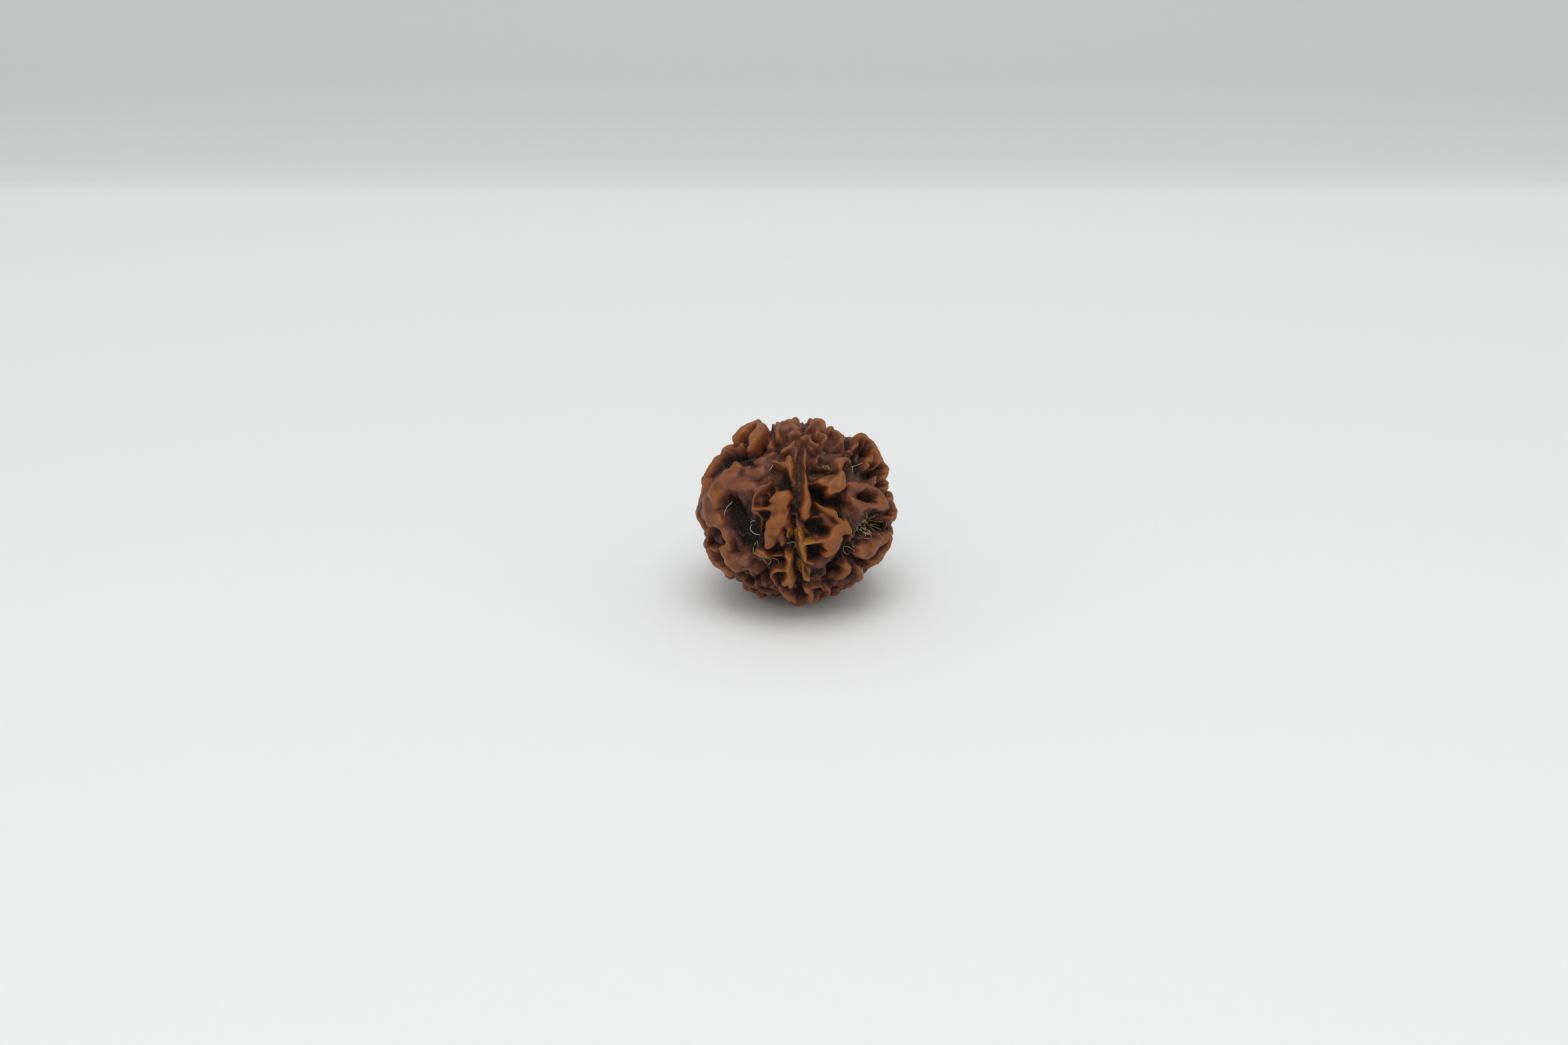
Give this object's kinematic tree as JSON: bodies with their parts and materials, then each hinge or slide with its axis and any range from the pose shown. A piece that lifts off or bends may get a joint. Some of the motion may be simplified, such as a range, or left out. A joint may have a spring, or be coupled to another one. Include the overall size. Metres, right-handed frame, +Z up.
{
  "type": "rudraksha seed",
  "caption": "Squat round woody seed stone with knuckled ridges, deep pits and seams from pole to pole, leaning back on three low knuckles.",
  "frame": {"origin": "middle of the bounding box, at the level of the three knuckle tips that the seed rests on", "axes": "+Z up from the surface it rests on; the seam that faces the viewer in the picture faces -Y; +X is the viewer's right"},
  "size_m": [0.0238, 0.0244, 0.0229],
  "materials": {
    "oiled_stone_wood": "satin"
  },
  "bodies": {
    "root": {"rudraksha_stone": "oiled_stone_wood"}
  },
  "joints": []
}
